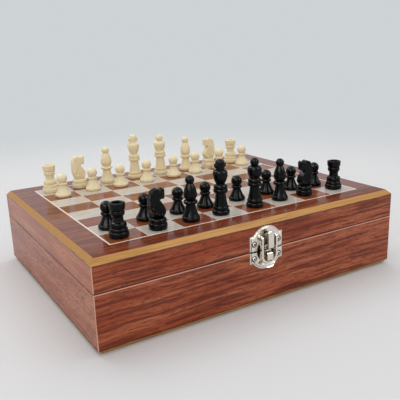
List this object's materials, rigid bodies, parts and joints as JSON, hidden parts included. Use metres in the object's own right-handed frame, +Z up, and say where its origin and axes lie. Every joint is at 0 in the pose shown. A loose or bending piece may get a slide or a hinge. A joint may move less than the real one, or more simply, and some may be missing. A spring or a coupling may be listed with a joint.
{
  "type": "chess box with hinged lid",
  "caption": "Shallow veneered wooden case whose hinged lid carries a chessboard, with a nickel toggle latch, a pocketed foam insert and a set of turned chessmen standing on the board",
  "frame": {"origin": "the middle of the underside of the case", "axes": "+X to the right along the long front, seen from the side with the latch; +Y from the latch to the hinges; +Z up"},
  "size_m": [0.22, 0.1816, 0.0885],
  "materials": {
    "mahogany_veneer": "red-brown veneer under gloss lacquer",
    "board_top": "veneered board with a printed chequer under gloss lacquer",
    "bottom_board": "veneered board, satin lacquer",
    "felt": "flocked",
    "foam": "matte foam",
    "brass": "plated, satin",
    "nickel": "nickel plated",
    "black_wood": "black satin lacquer",
    "pale_wood": "clear satin lacquer"
  },
  "bodies": {
    "base": {"base_front_wall": "mahogany_veneer", "base_back_wall": "mahogany_veneer", "base_left_wall": "mahogany_veneer", "base_right_wall": "mahogany_veneer", "base_bottom_panel": "bottom_board", "base_lining": "felt", "foam_insert": "foam", "hinge_left_base_leaf": "brass", "hinge_right_base_leaf": "brass", "hinge_pins": "brass", "hinge_base_screws": "brass", "latch_catch_plate": "nickel", "latch_catch_screws": "nickel"},
    "lid": {"lid_front_wall": "mahogany_veneer", "lid_back_wall": "mahogany_veneer", "lid_left_wall": "mahogany_veneer", "lid_right_wall": "mahogany_veneer", "lid_top_panel": "board_top", "lid_lining": "felt", "hinge_left_lid_leaf": "brass", "hinge_right_lid_leaf": "brass", "hinge_lid_screws": "brass", "latch_upper_plate": "nickel", "latch_upper_screws": "nickel", "latch_lever_pin": "nickel"},
    "latch_lever": {"latch_lever": "nickel"},
    "latch_loop": {"latch_loop": "nickel", "latch_loop_pin": "nickel"},
    "black_rook_left": {"black_rook_left": "black_wood"},
    "black_knight_left": {"black_knight_left": "black_wood"},
    "black_bishop_left": {"black_bishop_left": "black_wood"},
    "black_king": {"black_king": "black_wood"},
    "black_queen": {"black_queen": "black_wood"},
    "black_bishop_right": {"black_bishop_right": "black_wood"},
    "black_knight_right": {"black_knight_right": "black_wood"},
    "black_rook_right": {"black_rook_right": "black_wood"},
    "black_pawn_1": {"black_pawn_1": "black_wood"},
    "black_pawn_2": {"black_pawn_2": "black_wood"},
    "black_pawn_3": {"black_pawn_3": "black_wood"},
    "black_pawn_4": {"black_pawn_4": "black_wood"},
    "black_pawn_5": {"black_pawn_5": "black_wood"},
    "black_pawn_6": {"black_pawn_6": "black_wood"},
    "black_pawn_7": {"black_pawn_7": "black_wood"},
    "black_pawn_8": {"black_pawn_8": "black_wood"},
    "white_rook_left": {"white_rook_left": "pale_wood"},
    "white_knight_left": {"white_knight_left": "pale_wood"},
    "white_bishop_left": {"white_bishop_left": "pale_wood"},
    "white_king": {"white_king": "pale_wood"},
    "white_queen": {"white_queen": "pale_wood"},
    "white_bishop_right": {"white_bishop_right": "pale_wood"},
    "white_knight_right": {"white_knight_right": "pale_wood"},
    "white_rook_right": {"white_rook_right": "pale_wood"},
    "white_pawn_1": {"white_pawn_1": "pale_wood"},
    "white_pawn_2": {"white_pawn_2": "pale_wood"},
    "white_pawn_3": {"white_pawn_3": "pale_wood"},
    "white_pawn_4": {"white_pawn_4": "pale_wood"},
    "white_pawn_5": {"white_pawn_5": "pale_wood"},
    "white_pawn_6": {"white_pawn_6": "pale_wood"},
    "white_pawn_7": {"white_pawn_7": "pale_wood"},
    "white_pawn_8": {"white_pawn_8": "pale_wood"}
  },
  "joints": [
    {"name": "lid_hinge", "type": "hinge", "parent": "base", "child": "lid", "pos_m": [0, 0.0881, 0.0355], "axis": [-1, 0, 0], "range_deg": [0, 105]},
    {"name": "lever_pivot", "type": "hinge", "parent": "lid", "child": "latch_lever", "pos_m": [0, -0.0888, 0.0385], "axis": [1, 0, 0], "range_deg": [0, 100]},
    {"name": "loop_pivot", "type": "hinge", "parent": "latch_lever", "child": "latch_loop", "pos_m": [0, -0.0882, 0.0435], "axis": [1, 0, 0], "range_deg": [-115, 0]},
    {"name": "black_rook_left_lift", "type": "slide", "parent": "lid", "child": "black_rook_left", "axis": [0, 0, 1], "range_m": [0, 0.04]},
    {"name": "black_knight_left_lift", "type": "slide", "parent": "lid", "child": "black_knight_left", "axis": [0, 0, 1], "range_m": [0, 0.04]},
    {"name": "black_bishop_left_lift", "type": "slide", "parent": "lid", "child": "black_bishop_left", "axis": [0, 0, 1], "range_m": [0, 0.04]},
    {"name": "black_king_lift", "type": "slide", "parent": "lid", "child": "black_king", "axis": [0, 0, 1], "range_m": [0, 0.04]},
    {"name": "black_queen_lift", "type": "slide", "parent": "lid", "child": "black_queen", "axis": [0, 0, 1], "range_m": [0, 0.04]},
    {"name": "black_bishop_right_lift", "type": "slide", "parent": "lid", "child": "black_bishop_right", "axis": [0, 0, 1], "range_m": [0, 0.04]},
    {"name": "black_knight_right_lift", "type": "slide", "parent": "lid", "child": "black_knight_right", "axis": [0, 0, 1], "range_m": [0, 0.04]},
    {"name": "black_rook_right_lift", "type": "slide", "parent": "lid", "child": "black_rook_right", "axis": [0, 0, 1], "range_m": [0, 0.04]},
    {"name": "black_pawn_1_lift", "type": "slide", "parent": "lid", "child": "black_pawn_1", "axis": [0, 0, 1], "range_m": [0, 0.04]},
    {"name": "black_pawn_2_lift", "type": "slide", "parent": "lid", "child": "black_pawn_2", "axis": [0, 0, 1], "range_m": [0, 0.04]},
    {"name": "black_pawn_3_lift", "type": "slide", "parent": "lid", "child": "black_pawn_3", "axis": [0, 0, 1], "range_m": [0, 0.04]},
    {"name": "black_pawn_4_lift", "type": "slide", "parent": "lid", "child": "black_pawn_4", "axis": [0, 0, 1], "range_m": [0, 0.04]},
    {"name": "black_pawn_5_lift", "type": "slide", "parent": "lid", "child": "black_pawn_5", "axis": [0, 0, 1], "range_m": [0, 0.04]},
    {"name": "black_pawn_6_lift", "type": "slide", "parent": "lid", "child": "black_pawn_6", "axis": [0, 0, 1], "range_m": [0, 0.04]},
    {"name": "black_pawn_7_lift", "type": "slide", "parent": "lid", "child": "black_pawn_7", "axis": [0, 0, 1], "range_m": [0, 0.04]},
    {"name": "black_pawn_8_lift", "type": "slide", "parent": "lid", "child": "black_pawn_8", "axis": [0, 0, 1], "range_m": [0, 0.04]},
    {"name": "white_rook_left_lift", "type": "slide", "parent": "lid", "child": "white_rook_left", "axis": [0, 0, 1], "range_m": [0, 0.04]},
    {"name": "white_knight_left_lift", "type": "slide", "parent": "lid", "child": "white_knight_left", "axis": [0, 0, 1], "range_m": [0, 0.04]},
    {"name": "white_bishop_left_lift", "type": "slide", "parent": "lid", "child": "white_bishop_left", "axis": [0, 0, 1], "range_m": [0, 0.04]},
    {"name": "white_king_lift", "type": "slide", "parent": "lid", "child": "white_king", "axis": [0, 0, 1], "range_m": [0, 0.04]},
    {"name": "white_queen_lift", "type": "slide", "parent": "lid", "child": "white_queen", "axis": [0, 0, 1], "range_m": [0, 0.04]},
    {"name": "white_bishop_right_lift", "type": "slide", "parent": "lid", "child": "white_bishop_right", "axis": [0, 0, 1], "range_m": [0, 0.04]},
    {"name": "white_knight_right_lift", "type": "slide", "parent": "lid", "child": "white_knight_right", "axis": [0, 0, 1], "range_m": [0, 0.04]},
    {"name": "white_rook_right_lift", "type": "slide", "parent": "lid", "child": "white_rook_right", "axis": [0, 0, 1], "range_m": [0, 0.04]},
    {"name": "white_pawn_1_lift", "type": "slide", "parent": "lid", "child": "white_pawn_1", "axis": [0, 0, 1], "range_m": [0, 0.04]},
    {"name": "white_pawn_2_lift", "type": "slide", "parent": "lid", "child": "white_pawn_2", "axis": [0, 0, 1], "range_m": [0, 0.04]},
    {"name": "white_pawn_3_lift", "type": "slide", "parent": "lid", "child": "white_pawn_3", "axis": [0, 0, 1], "range_m": [0, 0.04]},
    {"name": "white_pawn_4_lift", "type": "slide", "parent": "lid", "child": "white_pawn_4", "axis": [0, 0, 1], "range_m": [0, 0.04]},
    {"name": "white_pawn_5_lift", "type": "slide", "parent": "lid", "child": "white_pawn_5", "axis": [0, 0, 1], "range_m": [0, 0.04]},
    {"name": "white_pawn_6_lift", "type": "slide", "parent": "lid", "child": "white_pawn_6", "axis": [0, 0, 1], "range_m": [0, 0.04]},
    {"name": "white_pawn_7_lift", "type": "slide", "parent": "lid", "child": "white_pawn_7", "axis": [0, 0, 1], "range_m": [0, 0.04]},
    {"name": "white_pawn_8_lift", "type": "slide", "parent": "lid", "child": "white_pawn_8", "axis": [0, 0, 1], "range_m": [0, 0.04]}
  ],
  "couplings": [
    {"joint": "loop_pivot", "follows": "lever_pivot", "ratio": -1.15}
  ]
}
